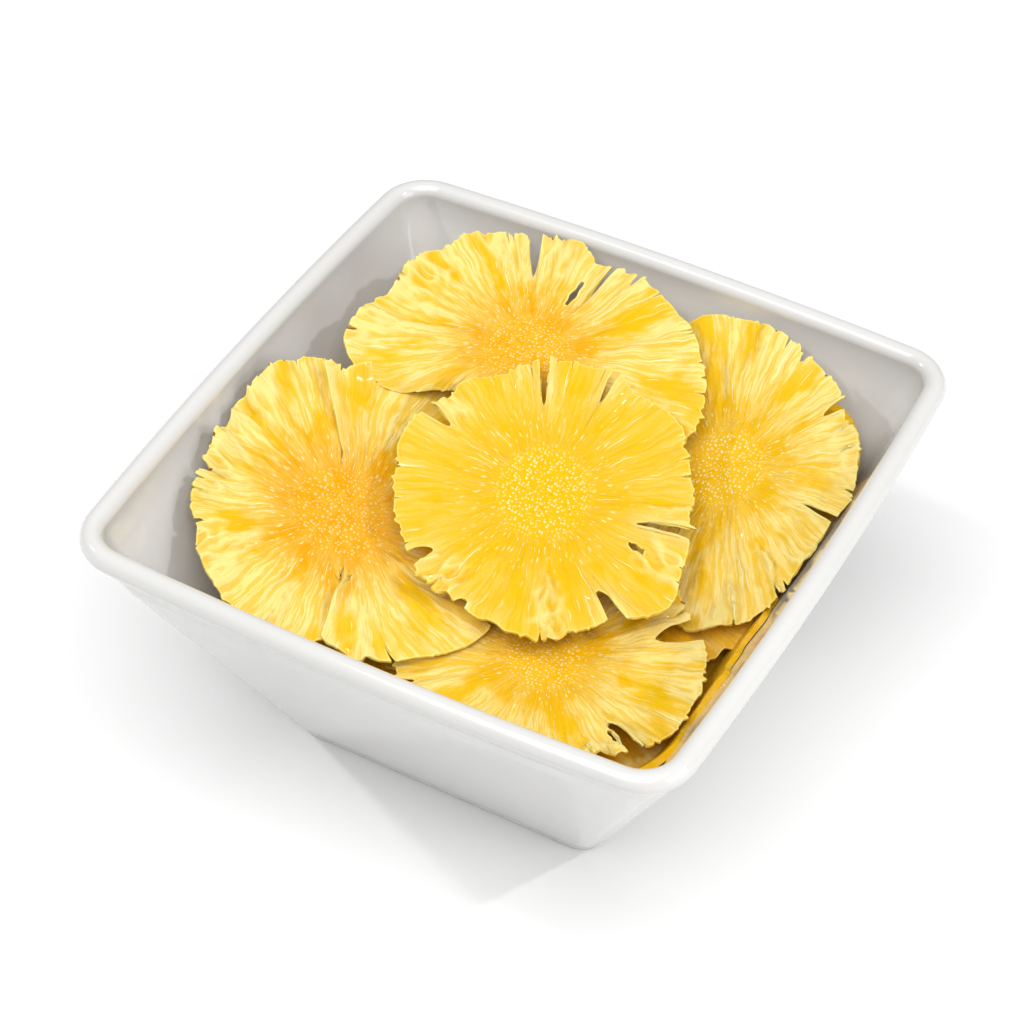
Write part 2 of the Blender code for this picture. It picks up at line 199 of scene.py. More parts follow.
# %% The walk along the bowl's section
def bowl_rings():
    lip_bottom = BOWL_HEIGHT - 2 * LIP_RADIUS
    rings = []

    def share(z):
        """How far up the wall a ring is. The rim's roundness and bow come in with it."""
        return min(z / lip_bottom, 1.0)

    def outer(half, z):
        corner = FOOT_CORNER + (RIM_CORNER - FOOT_CORNER) * share(z)
        lost = wall_outside(z) - half
        rings.append(square_ring(half, corner - lost, RIM_BOW * share(z), z))

    def inner(half, z):
        rings.append(square_ring(half, INSIDE_CORNER, RIM_BOW * share(z), z))

    # The recess under the floor, the ring that the bowl stands on, and the bend into the wall.
    ring_corner = FOOT_CORNER - FOOT_RING / 3
    rings.append(square_ring(FOOT_HALF - FOOT_RING - FOOT_RECESS, ring_corner, 0, FOOT_RECESS))
    rings.append(square_ring(FOOT_HALF - FOOT_RING, ring_corner, 0, 0))
    for angle in np.radians((0, 22, 45, 68, 90)):
        outer(FOOT_HALF - FOOT_ROUND * (1 - np.sin(angle)), FOOT_ROUND * (1 - np.cos(angle)))
    for out, above in FOOT_BEND:
        outer(FOOT_HALF + out * MM, FOOT_HEIGHT + above * MM)
    # The plain wall, which sinks in a little towards the neck under the lip.
    neck_bottom = lip_bottom - NECK_HEIGHT
    for z in np.linspace(FOOT_HEIGHT + NECK_HEIGHT, neck_bottom - 2 * NECK_HEIGHT, 8):
        outer(wall_outside(z), z)
    for part in np.linspace(0.15, 1, 8):
        sink = LIP_NECK * np.sin(part * np.pi / 2) ** 2
        z = neck_bottom - 2 * NECK_HEIGHT * (1 - part)
        outer(wall_outside(z) - sink, z)
    # A smooth curve from the neck to the underside of the lip, which leaves and arrives along both.
    start = np.array([wall_outside(neck_bottom) - LIP_NECK, neck_bottom])
    turn = np.radians(LIP_FROM)
    end = np.array([RIM_HALF - LIP_RADIUS + LIP_RADIUS * np.cos(turn),
                    BOWL_HEIGHT - LIP_RADIUS + LIP_RADIUS * np.sin(turn)])
    length = np.hypot(*(end - start))
    up_wall = np.array([WALL_FLARE, 1]) / np.hypot(WALL_FLARE, 1) * length
    up_lip = np.array([-np.sin(turn), np.cos(turn)]) * length
    corners = (FOOT_CORNER + (RIM_CORNER - FOOT_CORNER) * share(neck_bottom) - LIP_NECK,
               RIM_CORNER - (RIM_HALF - end[0]))
    for t in np.linspace(0, 1, 9)[1:-1]:
        eased = 3 * t ** 2 - 2 * t ** 3
        half, z = ((2 * t ** 3 - 3 * t ** 2 + 1) * start + (t ** 3 - 2 * t ** 2 + t) * up_wall
                   + eased * end + (t ** 3 - t ** 2) * up_lip)
        corner = corners[0] + (corners[1] - corners[0]) * eased
        rings.append(square_ring(half, corner, RIM_BOW * share(z), z))
    # Round the lip, down the inside, and over the floor's round edge.
    for angle in np.radians(np.linspace(LIP_FROM, 180, LIP_STEPS)):
        half = RIM_HALF - LIP_RADIUS + LIP_RADIUS * np.cos(angle)
        z = BOWL_HEIGHT - LIP_RADIUS + LIP_RADIUS * np.sin(angle)
        rings.append(square_ring(half, RIM_CORNER - (RIM_HALF - half), RIM_BOW, z))
    fillet_top = FLOOR_TOP + FLOOR_FILLET
    for z in np.linspace(lip_bottom, fillet_top, 12):
        inner(wall_inside(z), z)
    floor_half = wall_inside(fillet_top) - FLOOR_FILLET
    for angle in np.radians((22, 45, 68, 90)):
        inner(floor_half + FLOOR_FILLET * np.cos(angle), fillet_top - FLOOR_FILLET * np.sin(angle))
    return rings


bowl = ring_by_ring("porcelain_bowl", bowl_rings(), close_first=True, close_last=True)
smooth_up_to(bowl, 60)
print("bowl:", triangles(bowl), "triangles")

# %% [markdown]
# ## How the slices lie
#
# Fresh slices are as limp as wet cloth. One that is laid down follows what is under it, and bends
# softly where it comes to lie on its neighbour. Cloth simulation could drop them one by one, but the
# pile would settle somewhere else each time, and these slices have to lie where the solids are. So
# each slice takes the height of the pile under it, joined to its own lean by a soft maximum.

# %% The slices and the pile
THICK = 2.2 * MM
AIR = 0.9 * MM
SETTLE = 3.0 * MM
DROOP_SETTLE = 12.0 * MM
WALL_AIR = 0.2 * MM
HOLD_BACK = 0.1 * MM
HEAP_LEVEL = 42.0 * MM
HEAP_RISES = ((40 * MM, 40 * MM, 57 * MM, 0.06, 0.42), (-45 * MM, -22 * MM, 51 * MM, -0.46, 0.12))
HEAP_SETTLE = 6.0 * MM

# Each slice, from the lowest to the top one. Its core on the plan, its own lean as (height at the
# core, rise towards +X, rise towards +Y), the bend of a drooping side as (bearing, where it starts,
# droop), its edge as {bearing: radius}, and its slits as (bearing, radius that the slit reaches in
# to, half-width in degrees). Lengths are in millimetres, and bearings in degrees from +X towards +Y.
# A slice without a rest lies flat on what is under it.
SLICES = {
    "slice_low_left": {
        "core": (-33, -22),
        "edge": {0: 42, 60: 44, 120: 46, 180: 45, 230: 47, 300: 45},
        "cuts": [(150, 36, 4)],
    },
    "slice_low_front": {
        "core": (28, -40), "rest": (12, 0.70, -0.70),
        "edge": {0: 46, 60: 43, 120: 44, 180: 46, 240: 44, 290: 47, 320: 58, 340: 52},
        "cuts": [(200, 36, 4)],
    },
    "slice_low_right": {
        "core": (27, 8),
        "edge": {0: 43, 60: 46, 120: 44, 180: 43, 240: 45, 300: 42},
        "cuts": [(20, 36, 3)],
    },
    "slice_right": {
        "core": (43, 41), "rest": (73, 0.10, 0.42),
        "edge": {0: 39, 25: 37, 60: 38, 80: 39, 100: 45, 125: 50, 150: 47, 180: 42, 230: 43, 270: 44,
                 290: 49, 305: 47, 320: 42, 340: 38},
        "cuts": [(48, 30, 1.5), (352, 26, 2), (80, 36, 1.5)],
    },
    "slice_front": {
        "core": (27, -36), "rest": (57, 0.02, 0.03),
        "edge": {0: 43, 15: 45, 60: 42, 160: 42, 240: 42, 300: 41, 320: 38, 340: 43},
        "cuts": [(41, 31, 5), (334, 29, 2.5), (220, 37, 2)],
    },
    "slice_left": {
        "core": (-45, -26), "rest": (70, -0.46, 0.12),
        "edge": {0: 56, 20: 50, 50: 50, 75: 53, 90: 55, 100: 49, 110: 43, 130: 49, 160: 42, 185: 38,
                 215: 41, 260: 45, 285: 44, 300: 41, 320: 49, 340: 54},
        "cuts": [(119, 21, 1.5), (302, 23, 1.5), (202, 36, 2), (226, 39, 1)],
    },
    "slice_back": {
        "core": (-24, 45), "rest": (88, -0.04, 0.03), "droop": (300, 8, 0.35),
        "edge": {0: 56, 20: 52, 50: 43, 80: 38, 105: 42, 130: 47, 180: 46, 210: 53, 220: 48, 235: 29,
                 250: 21, 265: 23, 285: 30, 310: 44, 335: 53},
        "cuts": [(115, 30, 2.5), (75, 27, 1.5), (63, 37, 1)],
    },
    "slice_top": {
        "core": (4, 4), "rest": (76, -0.16, 0.30),
        "edge": {0: 46, 30: 42, 60: 44, 80: 41, 105: 43, 140: 39, 180: 43, 210: 43, 230: 42, 275: 44,
                 300: 47, 315: 45, 340: 50},
        "cuts": [(118, 26, 2.5), (88, 32, 2), (8, 28, 2), (325, 34, 3), (266, 40, 2.5), (237, 35, 3.5),
                 (172, 33, 2.5)],
    },
}
SLICES = {name: {"rest": None, "droop": None, **spec} for name, spec in SLICES.items()}
print("slices:", len(SLICES))


# %% The height of the pile under a slice
def smooth_max(a, b, blend):
    """The higher of two heights, with a soft bend where they meet. It is never lower than either."""
    return 0.5 * (a + b + np.sqrt((a - b) ** 2 + blend * blend))


def heap_top(x, y):
    """Top of the hidden slices: level in the middle, and leaning up the bowl at the back and the left."""
    height = HEAP_LEVEL + 0 * x
    for x0, y0, z0, rise_x, rise_y in HEAP_RISES:
        height = smooth_max(height, z0 + rise_x * (x - x0) + rise_y * (y - y0), HEAP_SETTLE)
    return height


def own_height(spec, x, y):
    """How high a slice would lie by itself: a leaning plane, with one side that may droop."""
    dx = x - spec["core"][0] * MM
    dy = y - spec["core"][1] * MM
    level, rise_x, rise_y = spec["rest"]
    height = level * MM + rise_x * dx + rise_y * dy
    if spec["droop"]:
        bearing, start, droop = spec["droop"]
        out = dx * np.cos(np.radians(bearing)) + dy * np.sin(np.radians(bearing)) - start * MM
        height = height - droop * smooth_max(out, 0 * out, DROOP_SETTLE)
    return height


def lie(name, x, y):
    """Height of the middle of a slice, which bends over all the slices under it."""
    height = heap_top(x, y)
    lift = AIR + THICK / 2
    for other, spec in SLICES.items():
        height = height + lift
        if spec["rest"]:
            height = smooth_max(height, own_height(spec, x, y), SETTLE)
        if other == name:
            return height
        lift = AIR + THICK
    raise KeyError(name)


for name, spec in SLICES.items():
    core_x, core_y = (value * MM for value in spec["core"])
    print(name, "core at", round(lie(name, core_x, core_y) / MM, 1), "mm")

# %% [markdown]
# ## The shape of one slice
#
# A knife leaves a slice flat, and then handling gives it its looks. The rim is a row of small teeth,
# where the eyes under the peel were cut through. Slits run in from the rim between the fruitlets, and
# beside a slit one edge rides up over the other. Thin lobes curl up, and a pinch leaves a pleat. The
# same disc carries all of it, so we extrude it as rings about the core, then move its points as a
# sculptor would: in the plane for the rim and the slits, and up or down for curls, folds and pleats.
# Last, a Solidify modifier gives it its thickness, which thins out at the rim.

# %% The touches that make each slice its own
# "lips" lifts the rim beside a slit: {bearing: (on the side before it, on the side after it)}.
# "slides" moves the flesh beside a slit over it: {bearing: (side, sideways, lift)}.
# "curls" are lobes that stand up or sink: (bearing, half-width, radius where it starts, lift).
# "pleats" are pinched ridges: (bearing, inner radius, half-width, height).
# "knobs" are crumpled patches: (bearing, half-width in degrees, radius where it starts, height).
# "tears" are holes that gape between the fibres: (bearing, inner radius, outer radius, half-width).
# "peel" lists the bearings where a scrap of brown peel was left on the rim.
PLAIN = {"lips": {}, "slides": {}, "curls": [], "pleats": [], "knobs": [], "tears": [], "peel": []}
TOUCHES = {
    "slice_low_left": {"seed": 21},
    "slice_low_front": {"seed": 22, "knobs": [(330, 40, 30, 1.2)]},
    "slice_low_right": {"seed": 23},
    "slice_right": {
        "seed": 31, "lips": {48: (0.8, 2.0), 352: (2.0, 0.3), 80: (1.0, 0.2)},
        "curls": [(30, 15, 30, 2.0), (335, 12, 34, 1.6), (285, 14, 40, 1.5)],
        "pleats": [(318, 20, 1.0, 1.3), (300, 26, 0.9, 1.0), (12, 22, 1.4, 0.8), (100, 26, 1.6, 0.8)],
        "knobs": [(332, 9, 30, 1.8), (25, 16, 28, 1.3), (60, 14, 32, 0.9), (290, 16, 34, 1.0)],
        "peel": [66, 97],
    },
    "slice_front": {
        "seed": 32, "lips": {41: (0.8, 1.2), 334: (0.6, 2.6), 220: (0.3, 0.8)},
        "curls": [(318, 10, 30, 2.2), (15, 16, 36, 1.0), (60, 9, 34, 2.4)],
        "pleats": [(300, 22, 1.0, 0.9), (285, 26, 0.9, 0.7), (262, 26, 1.2, 0.9)],
        "knobs": [(324, 14, 29, 1.2), (56, 13, 30, 1.4), (20, 16, 34, 0.9), (262, 16, 34, 1.3)],
        "tears": [(331, 31, 36, 0.8)], "peel": [54, 60, 67],
    },
    "slice_left": {
        "seed": 33, "lips": {119: (1.6, 0), 302: (0, 2.0), 202: (0.8, 0.4), 226: (0.6, 0.2)},
        "slides": {119: (-1, 6.5, 2.4), 302: (1, 7.5, 2.6)},
        "curls": [(190, 9, 28, 2.2), (214, 10, 30, 2.0), (245, 9, 34, 1.0), (98, 16, 38, 2.6),
                  (85, 12, 40, 2.0)],
        "pleats": [(272, 20, 1.4, 0.9), (238, 18, 1.5, 1.0), (160, 22, 1.6, 1.0), (174, 24, 1.4, 1.1),
                   (318, 22, 1.3, 0.7)],
        "knobs": [(195, 22, 26, 2.4), (160, 18, 28, 1.8), (240, 14, 30, 1.4), (310, 9, 38, 1.8)],
        "peel": [141, 147, 153, 178, 189, 203],
    },
    "slice_back": {
        "seed": 34, "lips": {115: (1.0, 0.5), 75: (1.4, 0.3), 63: (0.9, 0.4)},
        "curls": [(208, 14, 40, 1.8), (175, 12, 38, 1.4), (95, 10, 32, 1.4), (238, 28, 18, -3.2)],
        "pleats": [(196, 26, 1.4, 1.1), (150, 28, 1.2, 0.9), (128, 24, 1.2, 0.8), (60, 26, 1.2, 0.8)],
        "knobs": [(170, 20, 30, 1.4), (104, 9, 24, 1.6), (205, 12, 36, 1.3), (130, 12, 34, 1.0)],
        "tears": [(84, 20, 30, 0.7)], "peel": [178, 204, 222, 108],
    },
    "slice_top": {
        "seed": 35,
        "lips": {118: (1.6, 0.5), 88: (1.4, 0.9), 8: (1.8, 1.6), 325: (1.0, 1.4), 266: (0.6, 1.2),
                 237: (0.6, 1.6), 172: (1.4, 0.5)},
        "curls": [(252, 15, 29, 2.6), (358, 10, 27, 1.6), (160, 12, 30, 1.6), (335, 8, 36, 1.4),
                  (15, 10, 30, 1.4)],
        "pleats": [(301, 20, 1.1, 1.6), (306, 30, 0.9, 1.0), (18, 26, 1.3, 0.7), (164, 26, 1.0, 1.5),
                   (130, 26, 1.1, 0.8)],
        "knobs": [(250, 14, 28, 2.0), (356, 11, 29, 1.4), (165, 9, 27, 1.0), (301, 10, 26, 0.8)],
        "tears": [(355, 28, 35, 0.8)], "peel": [196],
    },
}
TOUCHES = {name: {**PLAIN, **touch} for name, touch in TOUCHES.items()}
print("curled lobes:", sum(len(touch["curls"]) for touch in TOUCHES.values()))


# %% Smooth curves, soft steps and unevenness
def between(table, bearing):
    """A smooth closed curve through {bearing: value}."""
    keys = np.array(sorted(table), float)
    values = np.array([table[key] for key in sorted(table)], float)
    count = len(keys)
    bearing = np.asarray(bearing, float) % 360
    last = (np.searchsorted(keys, bearing, side="right") - 1) % count
    ahead = (last + 1) % count
    span = (keys[ahead] - keys[last]) % 360
    share = ((bearing - keys[last]) % 360) / span
    before = (keys[last] - keys[(last - 1) % count]) % 360
    after = (keys[(last + 2) % count] - keys[ahead]) % 360
    slope_b = (values[ahead] - values[(last - 1) % count]) / (span + before) * span
    slope_c = (values[(last + 2) % count] - values[last]) / (span + after) * span
    s2 = share * share
    s3 = s2 * share
    return ((2 * s3 - 3 * s2 + 1) * values[last] + (s3 - 2 * s2 + share) * slope_b
            + (3 * s2 - 2 * s3) * values[ahead] + (s3 - s2) * slope_c)


def step_up(value, start, end):
    """0 before start, 1 after end, and a soft step between."""
    share = np.clip((value - start) / (end - start), 0, 1)
    return share * share * (3 - 2 * share)


def bearing_gap(a, b):
    """How far bearing a is past bearing b, from -180 to 180 degrees."""
    return (a - b + 180) % 360 - 180


def uneven(x, y, z, seed):
    """Soft unevenness from -1 to 1, one bump for each unit of length."""
    shift = 17.3 * seed
    return np.array([noise.noise(Vector((a + shift, b, c))) for a, b, c in zip(x, y, z)])


print("a step half way:", step_up(0.5, 0, 1))

# %% [markdown]
# The outline gets its teeth here. They are not spread evenly: a few stand out, most are small, and
# some stretches were cut clean. Directions lie closer together near the slits, whose sides run nearly
# straight in towards the core and would look stepped otherwise.

# %% The outline of a slice
STEPS_ROUND = 640
TOOTH_COUNT = 130
TOOTH_SIZE = (0.25, 1.15)
TOOTH_WIDTH = (0.45, 1.6)
SCALLOP = 1.3 * MM
WAVE = 0.35 * MM
NICK_COUNT = 16


def nicks(touch):
    """Short splits of the rim, as (bearing, depth in millimetres, half-width in degrees)."""
    chance = np.random.default_rng(touch["seed"] + 100)
    return [(chance.uniform(0, 360), chance.uniform(0.9, 2.2) ** 2, chance.uniform(0.3, 0.7))
            for _ in range(NICK_COUNT)]


def directions(spec, touch, count):
    """Bearings round a slice, several times as close at the sides of its slits and nicks."""
    fine = np.arange(0, 360, 0.05)
    weight = np.ones(len(fine))
    for middle, _, half_width in nicks(touch):
        weight += 4 * (np.abs(bearing_gap(fine, middle)) < half_width * 1.3)
    for middle, _, half_width in spec["cuts"]:
        off = np.abs(bearing_gap(fine, middle))
        weight += 6 * np.exp(-((off - half_width) / 0.5) ** 2) + 2 * (off < half_width)
    total = np.cumsum(weight)
    return np.interp(np.arange(count) * total[-1] / count, total, fine)


def outline(spec, touch, turns):
    """Radius of the rim at each bearing, with waves, teeth and slits."""
    chance = np.random.default_rng(touch["seed"])
    radius = between(spec["edge"], turns) * MM
    around = np.radians(turns)
    radius += WAVE * (np.sin(7 * around + spec["core"][0]) + np.sin(11 * around + spec["core"][1]))
    scallops = uneven(np.cos(around) * 5, np.sin(around) * 5, 0 * around, touch["seed"] + 0.7)
    radius += SCALLOP * (scallops - 0.9 * np.abs(scallops))
    for _ in range(TOOTH_COUNT):
        middle = chance.uniform(0, 360)
        size = chance.uniform(*TOOTH_SIZE) ** 2 * MM
        wide = chance.uniform(*TOOTH_WIDTH)
        lean = chance.uniform(-0.7, 0.7)
        gap = bearing_gap(turns, middle) / wide
        slope = np.where(gap < lean, (gap + 1) / (1 + lean), (1 - gap) / (1 - lean))
        radius += size * np.clip(slope, 0, 1) - 0.3 * size * np.exp(-(gap / 2) ** 2)
    for middle, depth, half_width in nicks(touch):
        radius -= depth * MM * np.clip(1 - np.abs(bearing_gap(turns, middle)) / half_width, 0, 1)
    for middle, inner, half_width in spec["cuts"]:
        ragged = 1 + 0.12 * np.sin(5 * around * 40 / half_width)
        off = np.abs(bearing_gap(turns, middle)) / (half_width * ragged)
        depth = np.sqrt(np.clip(1 - off * off, 0, 1))
        radius -= (radius - inner * MM) * depth
    return radius


def inside_bowl(x, y, z):
    """How far a point is inside the bowl's inner face: negative when it is in the wall."""
    half = wall_inside(z)
    corner = half - INSIDE_CORNER
    far = np.maximum(np.abs(x), np.abs(y))
    near = np.minimum(np.abs(x), np.abs(y))
    round_part = INSIDE_CORNER - np.hypot(far - corner, near - corner) - RIM_BOW
    return np.where(near > corner, round_part, half - RIM_BOW * (near / corner) ** 2 - far)


def hold_back(name, spec, turns, radius):
    """Draws the rim back where the bowl's wall is in the way."""
    around = np.radians(turns)
    while True:
        x = spec["core"][0] * MM + radius * np.cos(around)
        y = spec["core"][1] * MM + radius * np.sin(around)
        tight = inside_bowl(x, y, lie(name, x, y) - THICK / 2) < WALL_AIR
        if not tight.any():
            return radius
        radius = np.where(tight, radius - HOLD_BACK, radius)


turns = directions(SLICES["slice_top"], TOUCHES["slice_top"], STEPS_ROUND)
reach = outline(SLICES["slice_top"], TOUCHES["slice_top"], turns)
print("top slice:", round(2 * reach.mean() / MM), "mm across")


# %% Where every point of a slice goes
FOLD = 1.5 * MM
RIPPLE = 0.5 * MM
RIM_SWAY = 2.0 * MM
FIBRE_RELIEF = 0.22 * MM
RIM_ROUNDING = 0.35 * MM
LIP_REACH = 2.2
LUMP = 0.4 * MM
LUMP_SIZE = 4.5 * MM
KNOB_SIZE = 4.5 * MM


def lifted(touch, spec, bearing, radius, edge):
    """How far each point is lifted off the plain lie of its slice, and how pale it is painted where it
    bends up: milky bruised flesh, with a painted highlight on the crests.
    """
    mm = radius / MM
    around = np.radians(bearing)
    share = radius / edge

    def rolling(spread, outwards, offset):
        """Unevenness round the slice, finer for a greater spread, and drawn out along the fibres."""
        return uneven(np.cos(around) * spread, np.sin(around) * spread, outwards, touch["seed"] + offset)

    # Wide folds, narrower ripples, the fibres, a sway of the rim, and small lumps.
    fold = rolling(1.9 * mm ** 0.3, mm * 0.03, 0.9)
    ripple = rolling(4 * mm ** 0.35, mm * 0.05, 0)
    fibre = rolling(13 * np.maximum(mm, 1) ** 0.15, mm * 0.02, 0.5)
    sway = rolling(3.2, 0 * mm, 0.2)
    lift = FOLD * fold * step_up(mm, 10, 34) + RIPPLE * ripple * step_up(mm, 6, 26)
    lift += FIBRE_RELIEF * fibre * step_up(mm, 10, 18)
    lift += RIM_SWAY * (sway - 0.3) * step_up(share, 0.6, 1)
    flat_x, flat_y = radius * np.cos(around), radius * np.sin(around)
    lumps = uneven(flat_x / LUMP_SIZE, flat_y / LUMP_SIZE, 0 * mm, touch["seed"] + 0.3)
    lift += LUMP * lumps * step_up(share, 0.4, 0.9)
    # Crumpled patches, with creases between their knobs. The crests of the knobs are painted paler: milky
    # flesh with a painted highlight.
    crumple = 0.5 - np.abs(rolling(40 * MM / KNOB_SIZE, mm / 7, 0.4)) * 2
    milky_and_highlight = np.zeros(len(mm))
    for middle, half_width, start, up in touch["knobs"]:
        across = 1 - step_up(np.abs(bearing_gap(bearing, middle)), 0.5 * half_width, half_width)
        knobbly = across * step_up(mm, start, start + 7)
        lift += up * MM * crumple * knobbly
        milky_and_highlight = np.maximum(milky_and_highlight, knobbly * step_up(crumple, -0.1, 0.5))
    # The flesh beside a slit, which bends up, and then the curled lobes and the pinched pleats. The raised
    # lips and the pleat ridges are painted paler as well: milky flesh with a painted highlight.
    for middle, inner, half_width in spec["cuts"]:
        gap = bearing_gap(bearing, middle)
        beside = (np.abs(gap) - half_width) * mm * np.pi / 180
        near = np.exp(-(np.maximum(beside, 0) / LIP_REACH) ** 2) * step_up(mm, inner - 5, inner + 6)
        for side, up in zip((-1, 1), touch["lips"].get(middle, (0, 0))):
            beside_slit = near * (np.sign(gap) == side)
            lift += up * MM * beside_slit
            milky_and_highlight = np.maximum(milky_and_highlight, np.minimum(up, 1.5) * 0.5 * beside_slit)
    for middle, half_width, start, up in touch["curls"]:
        across = 1 - step_up(np.abs(bearing_gap(bearing, middle)), 0.35 * half_width, half_width)
        along = np.clip((mm - start) / np.maximum(edge / MM - start, 3), 0, 1.1)
        lift += up * MM * across * along ** 1.7
    for middle, inner, half_width, up in touch["pleats"]:
        wander = 0.7 * np.sin(mm * 0.5 + middle) + 0.35 * np.sin(mm * 1.7)
        off = bearing_gap(bearing, middle) * mm * np.pi / 180 - wander
        ridge = np.exp(-(off / half_width) ** 2)
        ridge -= 0.45 * np.exp(-((off - 1.6 * half_width) / half_width) ** 2)
        lift += up * MM * ridge * step_up(mm, inner, inner + 12)
        milky_and_highlight = np.maximum(milky_and_highlight, np.clip(ridge, 0, 1) * 0.6 * step_up(mm, inner, inner + 12))
    return lift, milky_and_highlight


def slid(touch, bearing, radius):
    """Bearings after the flesh beside a slit has slid over it, and how far that lifts it."""
    mm = np.maximum(radius / MM, 1)
    lift = np.zeros(len(mm))
    for middle, (side, sideways, up) in touch["slides"].items():
        gap = bearing_gap(bearing, middle) * side
        near = (gap > 0) * np.exp(-(gap * mm * np.pi / 180 / 26) ** 2)
        out = np.clip((mm - 18) / 24, 0, 1.2)
        bearing = bearing - side * near * out * sideways / mm * 180 / np.pi
        lift += up * MM * near * out
    return bearing, lift


print("ripples up to", RIPPLE / MM, "mm")


# %% Model one slice
RING_SHARES = np.concatenate([(1, 0.991, 0.98, 0.967, 0.951, 0.932), np.linspace(0.91, 0.05, 40)])
LOW_STEPS = 240
FLAT_SPAN = 100.0
RIM_THINNEST = 0.36
RIM_TAPER = 4.5


def distance_to_rim(flat, outline_ring, torn):
    """Distance of each point to the rim, a slit or a tear, on the flat slice, in millimetres."""
    following = np.roll(outline_ring, -1, axis=0)
    parts = np.linspace(0, 1, 8, endpoint=False)[:, None, None]
    dots = np.concatenate([(outline_ring + (following - outline_ring) * parts).reshape(-1, 3), torn])
    tree = kdtree.KDTree(len(dots))
    for number, dot in enumerate(dots):
        tree.insert(dot, number)
    tree.balance()
    return np.array([tree.find(place)[2] for place in flat]) / MM


def open_tears(thing, touch, turns, flat):
    """Takes out one strip of faces for each tear, spreads its sides, and returns the points on them."""
    select_only(thing)
    bpy.ops.object.mode_set(mode="EDIT")
    mesh = bmesh.from_edit_mesh(thing.data)
    step = mesh.verts.layers.int["step"]
    radius = np.hypot(flat[:, 0], flat[:, 1])
    beside, shift, doomed = [], np.zeros(len(flat)), []
    for middle, inner, outer, half_width in touch["tears"]:
        first = int(np.argmin(np.abs(bearing_gap(turns, middle))))
        pair = (first, (first + 1) % len(turns))
        split = turns[first] + bearing_gap(turns[pair[1]], turns[first]) / 2
        along = (radius / MM - (inner + outer) / 2) / ((outer - inner) / 2)
        gap = np.radians(bearing_gap(np.degrees(np.arctan2(flat[:, 1], flat[:, 0])), split)) * radius
        open_by = np.sqrt(np.clip(1 - along * along, 0, 1)) * half_width * MM
        open_by = open_by * (1 + 0.35 * np.sin(along * 7 + middle))
        shift += np.sign(gap) * open_by * np.exp(-(gap / (2 * MM)) ** 2)
        for face in mesh.faces:
            points = [point for point in face.verts if abs(along[point.index]) < 1]
            if len(points) == len(face.verts) == 4 and {point[step] for point in points} == set(pair):
                doomed.append(face)
                beside += [point.index for point in points]
    bmesh.ops.delete(mesh, geom=doomed, context="FACES_ONLY")
    bmesh.update_edit_mesh(thing.data)
    bpy.ops.object.mode_set(mode="OBJECT")
    turned = np.degrees(shift / np.maximum(radius, MM))
    return sorted(set(beside)), turned


def model_slice(name, steps, shares):
    spec, touch = SLICES[name], TOUCHES[name]
    turns = directions(spec, touch, steps)
    edge = hold_back(name, spec, turns, outline(spec, touch, turns))
    around = np.radians(turns)
    flat_rings = []
    for share in shares:
        follow = step_up(share, 0.05, 0.4)
        reach = share * (follow * edge + (1 - follow) * edge.mean())
        flat_rings.append(polar_ring(reach, around, 0 * edge))
    thing = ring_by_ring(name.replace("slice", "pineapple"), flat_rings, close_first=False, close_last=True)
    data = thing.data
    count = len(data.vertices)
    step = np.zeros(count, int)
    data.attributes["step"].data.foreach_get("value", step)
    flat = points_of(data)
    radius = np.hypot(flat[:, 0], flat[:, 1])
    bearing = np.degrees(np.arctan2(flat[:, 1], flat[:, 0])) % 360
    rim = edge[step]
    rim[radius < 1e-6] = edge.mean()
    torn, turned = open_tears(thing, touch, turns, flat)
    moved, slide_lift = slid(touch, bearing + turned, radius)
    x = spec["core"][0] * MM + radius * np.cos(np.radians(moved))
    y = spec["core"][1] * MM + radius * np.sin(np.radians(moved))
    # The second value is how pale each point is painted: milky bent flesh, and a painted highlight on
    # raised crests, lips and pleat ridges.
    lift, milky_and_highlight = lifted(touch, spec, bearing, radius, rim)
    z = lie(name, x, y) + THICK / 2 + lift + slide_lift
    z -= RIM_ROUNDING * step_up(radius / rim, 0.965, 1.0)
    data.vertices.foreach_set("co", np.stack([x, y, z], axis=1).ravel())
    inset = distance_to_rim(flat, flat_rings[0], flat[torn])
    chance = np.random.default_rng(touch["seed"] + 200)
    peel = np.zeros(count)
    for middle in touch["peel"]:
        wide, deep = chance.uniform(0.35, 0.7), chance.uniform(0.35, 0.7)
        off = bearing_gap(bearing, middle) * radius / MM * np.pi / 180
        peel += np.exp(-(off / wide) ** 4 - (inset / deep) ** 4) * (radius > 0.75 * rim)
    keep_flat_place(data, flat, inset, peel, milky_and_highlight)
    taper = thing.vertex_groups.new(name="taper")
    thickness = RIM_THINNEST + (1 - RIM_THINNEST) * step_up(inset, 0, RIM_TAPER)
    for number, weight in enumerate(thickness):
        taper.add([number], weight, "REPLACE")
    select_only(thing)
    body = thing.modifiers.new("Solidify", "SOLIDIFY")
    body.thickness = THICK
    body.offset = -1
    body.vertex_group = "taper"
    bpy.ops.object.modifier_apply(modifier=body.name)
    smooth_up_to(thing, 70)
    return thing


def keep_flat_place(data, flat, inset, peel, milky_and_highlight):
    """Keeps each point's place on the flat slice as a UV map, and three values to colour it by: the
    distance in from the rim, brown peel, and milky bruising with a painted highlight on raised crests.
    """
    corners = np.zeros(len(data.loops), int)
    data.loops.foreach_get("vertex_index", corners)
    place = data.uv_layers.new(name="flat")
    place.data.foreach_set("uv", (flat[corners, :2] / (FLAT_SPAN * MM) + 0.5).ravel())
    for name, values in (("inset", inset), ("peel", peel), ("milky_and_highlight", milky_and_highlight)):
        kept = data.attributes.new(name, "FLOAT", "POINT")
        kept.data.foreach_set("value", values)


